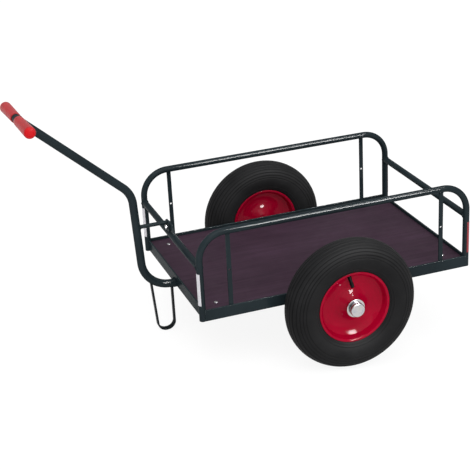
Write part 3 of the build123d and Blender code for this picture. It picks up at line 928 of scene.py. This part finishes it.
for face in lug_faces:
    low = cross_height + np.sqrt(tube_radius**2 - (face - leg_ahead) ** 2)
    lug_seam = straight_seam((face, -lug_half, low), (face, lug_half, low))
    lug_seams.append(bead(lug_seam, thin_bead, (1, 0, 0)))
fit(skin("lug_welds", lug_seams), "cart", "frame_paint", weld_enamel)

# Stand: one flat steel strip bent to a U, both its ends welded to the drawbar: the rear one close to the
# socket and the front one in the bend. Its enamel is almost black.
strip_wide = 0.018
strip_thick = 0.005
stand_bend = 0.025
stand_corners = [(0.431, -0.004), (0.431, -0.1459), (0.482, -0.1459), (0.4954, 0.0196)]
stand_line = rounded(stand_corners, stand_bend, 18)
strip_edge = 0.0011
strip_corners = np.array([(0, 1), (1, 1), (1, -1), (-1, -1), (-1, 1), (0, 1)])
edge_corners = strip_corners * (strip_thick / 2, strip_wide / 2)
edge = rounded(edge_corners, strip_edge, 3)[:-1]
black_enamel = stove_enamel(
    "black_enamel", shade(15, 19, 21), shade(21, 26, 28), shade(70, 76, 78), gloss=0.012
)
fit(skin("strip_stand", [carried(stand_line, 0, edge)]), "cart", "frame_paint", black_enamel, "stand")
seam_y = np.linspace(-0.0075, 0.0075, 26)
tube_drop = np.sqrt(bar_radius**2 - seam_y**2)
bend_start = bar_line[1]
rear_end_faces = (0.4287, 0.4333)
front_end_faces = (0.4926, 0.4970)
stand_seams = []
for face in rear_end_faces:
    stand_seams.append(np.stack([np.full_like(seam_y, face), seam_y, bar_height - tube_drop], axis=1))
for face in front_end_faces:
    reach = bar_bends[0] + tube_drop
    fall = bar_bends[0] - np.sqrt(reach**2 - (face - bend_start[0]) ** 2)
    stand_seams.append(np.stack([np.full_like(seam_y, face), seam_y, bar_height + fall], axis=1))
stand_welds = skin("stand_welds", [bead(seam, thin_bead, (0, 0, 1)) for seam in stand_seams])
fit(stand_welds, "cart", "frame_paint", weld_enamel)

# Reflective strips: prismatic film wrapped on the legs, white in front and red behind, with a net of fine
# cell walls under a clear face.
film_thick = 0.0005
film_length = 0.099
film_sunk = 0.0002
film_steps = 25


def prismatic_film(name, cell, wall):
    """Reflective film: small six-sided cells, paler than the net of walls between them, found as the edges
    between the nearest points of a grid on the strip's own width and length."""
    material, tree, shader, place = blank_finish(name, Specular_IOR_Level=0.5)
    strip = add(tree, "UVMap", uv_map="strip").outputs[0]
    cells = add(tree, "TexVoronoi", feature="DISTANCE_TO_EDGE", Vector=strip, Scale=260.0, Randomness=0.25)
    net = cells.outputs["Distance"]
    colour = ramp(tree, net, (0.02, wall), (0.10, cell))
    smear = noise(tree, place, 90.0, 3.0)
    wire(tree, shader, colour, between(tree, smear, 0.16, 0.30), net, 0.15, 0.0003)
    return material


films = {
    "front": prismatic_film("white_reflective_film", shade(224, 222, 227), shade(186, 186, 194)),
    "rear": prismatic_film("red_reflective_film", shade(150, 26, 37), shade(120, 16, 28)),
}
strips = (("front", 1, 0.050, 0, 65, "reflector_white"), ("rear", -1, 0.046, 38, 58, "reflector_red"))
for end, ex, low, outward_turn, wrap, slot in strips:
    for side, sy in sides:
        centre = sy * radians(outward_turn) if ex > 0 else pi - sy * radians(outward_turn)
        angle = centre + radians(wrap) * np.linspace(-1, 1, film_steps)
        face_reach = np.full(film_steps, tube_radius + film_thick)
        back_reach = np.full(film_steps, tube_radius - film_sunk)
        reach = np.concatenate([face_reach, back_reach])
        around = np.concatenate([angle, angle[::-1]])
        height = low + film_length * np.array([0.0, 0.004, 0.5, 0.996, 1.0])
        shrink = np.array([-0.0004, 0.0, 0.0, 0.0, -0.0004])[:, None]
        lifted = np.where(np.arange(2 * film_steps) < film_steps, reach + shrink, reach)
        grid = np.stack(
            [
                ex * leg_ahead + lifted * np.cos(around),
                sy * hoop_left + lifted * np.sin(around),
                np.broadcast_to(height[:, None], lifted.shape),
            ],
            axis=-1,
        )
        film = skin(f"{end}_{side}_reflective_film", [grid])
        flat = film.data.uv_layers.new(name="strip")
        local = (places(film) - bed_middle) @ np.stack([ahead, left, up], axis=1)
        bearing = np.arctan2(local[:, 1] - sy * hoop_left, local[:, 0] - ex * leg_ahead)
        wrapped = (bearing - centre + pi) % (2 * pi) - pi
        on_strip = np.stack([wrapped * tube_radius, local[:, 2]], axis=1)
        corner = np.zeros(len(film.data.loops), int)
        film.data.loops.foreach_get("vertex_index", corner)
        flat.data.foreach_set("uv", on_strip[corner].ravel())
        fit(film, "cart", slot, films[end], f"reflector_{end}_{side}")

# Studio: a plain white floor, a bright ceiling, a broad soft light from above, another beside the camera and
# two panels whose images are the highlights on the paint. The camera stands ahead of the cart's left side.
floor_half = 60.0
floor_glow = 0.80
glow_strength = 1.12
panel_far = 6.0
floor_mesh = bpy.data.meshes.new("studio_floor")
floor_corners = floor_half * np.array([(-1, -1, 0), (1, -1, 0), (1, 1, 0), (-1, 1, 0)])
floor_mesh.from_pydata(floor_corners.tolist(), [], [(0, 1, 2, 3)])
floor = bpy.data.objects.new("studio_floor", floor_mesh)
bpy.context.collection.objects.link(floor)
white, tree, shader, place = blank_finish("floor_paint", Specular_IOR_Level=0.0, Roughness=0.9)
mottle = noise(tree, place, 2.0, 3.0)
paint = ramp(tree, mottle, (0.3, shade(216, 216, 216)), (0.7, shade(222, 222, 222)))
tree.links.new(paint, shader.inputs["Base Color"])
ray = add(tree, "LightPath").outputs
seen = add(tree, "Math", operation="MAXIMUM")
tree.links.new(ray["Is Camera Ray"], seen.inputs[0])
tree.links.new(ray["Is Glossy Ray"], seen.inputs[1])
seen_through = add(tree, "Math", operation="MAXIMUM")
tree.links.new(seen.outputs[0], seen_through.inputs[0])
tree.links.new(ray["Is Transmission Ray"], seen_through.inputs[1])
glow = add(tree, "Math", operation="MULTIPLY")
tree.links.new(seen_through.outputs[0], glow.inputs[0])
glow.inputs[1].default_value = floor_glow
backlit = add(tree, "Emission", Color=(1, 1, 1, 1), Strength=glow_strength)
blend = add(tree, "MixShader", Fac=glow.outputs[0])
tree.links.new(shader.outputs[0], blend.inputs[1])
tree.links.new(backlit.outputs[0], blend.inputs[2])
tree.links.new(blend.outputs[0], tree.nodes["Material Output"].inputs["Surface"])
floor_mesh.materials.append(white)

world = bpy.data.worlds.new("studio_air")
bpy.context.scene.world = world
world.use_nodes = True
air = world.node_tree
height = add(air, "SeparateXYZ", Vector=add(air, "TexCoord").outputs["Generated"]).outputs["Z"]
ceiling = ramp(air, height, (0.10, (0.50, 0.50, 0.50, 1)), (0.95, (0.95, 0.95, 0.95, 1)))
air.links.new(ceiling, air.nodes["Background"].inputs["Color"])


def softbox(name, comes_from, strength, spread):
    """A far soft light: comes_from is the direction to it, and spread the angle that it fills."""
    lamp = bpy.data.lights.new(name, "SUN")
    lamp.energy = strength
    lamp.angle = radians(spread)
    holder = bpy.data.objects.new(name, lamp)
    holder.matrix_world = Vector(comes_from).to_track_quat("Z", "Y").to_matrix().to_4x4()
    bpy.context.collection.objects.link(holder)


softbox("top_light", (0.25, 0.35, 1.0), 0.9, 50)
softbox("camera_side_light", (0.0, 0.85, 0.45), 0.75, 60)


def highlight_panel(name, comes_from, wide, tall, power):
    """A far lit panel, facing the cart, that shows only as its image in glossy surfaces."""
    way = Vector(comes_from).normalized()
    lamp = bpy.data.lights.new(name, "AREA")
    lamp.shape = "RECTANGLE"
    lamp.size = wide
    lamp.size_y = tall
    lamp.energy = power
    holder = bpy.data.objects.new(name, lamp)
    facing_cart = way.to_track_quat("Z", "Y").to_matrix().to_4x4()
    holder.matrix_world = Matrix.Translation(panel_far * way) @ facing_cart
    holder.visible_diffuse = False
    bpy.context.collection.objects.link(holder)


highlight_panel("rim_highlight", (-0.30, 0.71, 0.55), 1.60, 2.20, 940.0)
highlight_panel("tube_highlight", (-0.33, 0.29, 0.90), 2.40, 0.55, 150.0)

film_width = 36.0
photo_side = 470
focal_pixels = 1271.3
axis_pixel = (228.46, 223.67)
eye = parked((1.3670, 3.3713, 1.6715))
directions = np.array([[-0.9395, 0.3385, -0.0532], [-0.1788, -0.3519, 0.9188], [0.2923, 0.8727, 0.3911]])
turned_axes = directions @ np.stack([ahead, left, up])
lens = bpy.data.cameras.new("photo_camera")
lens.sensor_width = film_width
lens.lens = film_width * focal_pixels / photo_side
lens.shift_x = 0.5 - axis_pixel[0] / photo_side
lens.shift_y = axis_pixel[1] / photo_side - 0.5
camera = bpy.data.objects.new("photo_camera", lens)
stance = np.eye(4)
stance[:3, :3] = turned_axes.T
stance[:3, 3] = eye
camera.matrix_world = Matrix(stance.tolist())
bpy.context.collection.objects.link(camera)
bpy.context.scene.camera = camera
bpy.context.scene.view_settings.view_transform = "Standard"
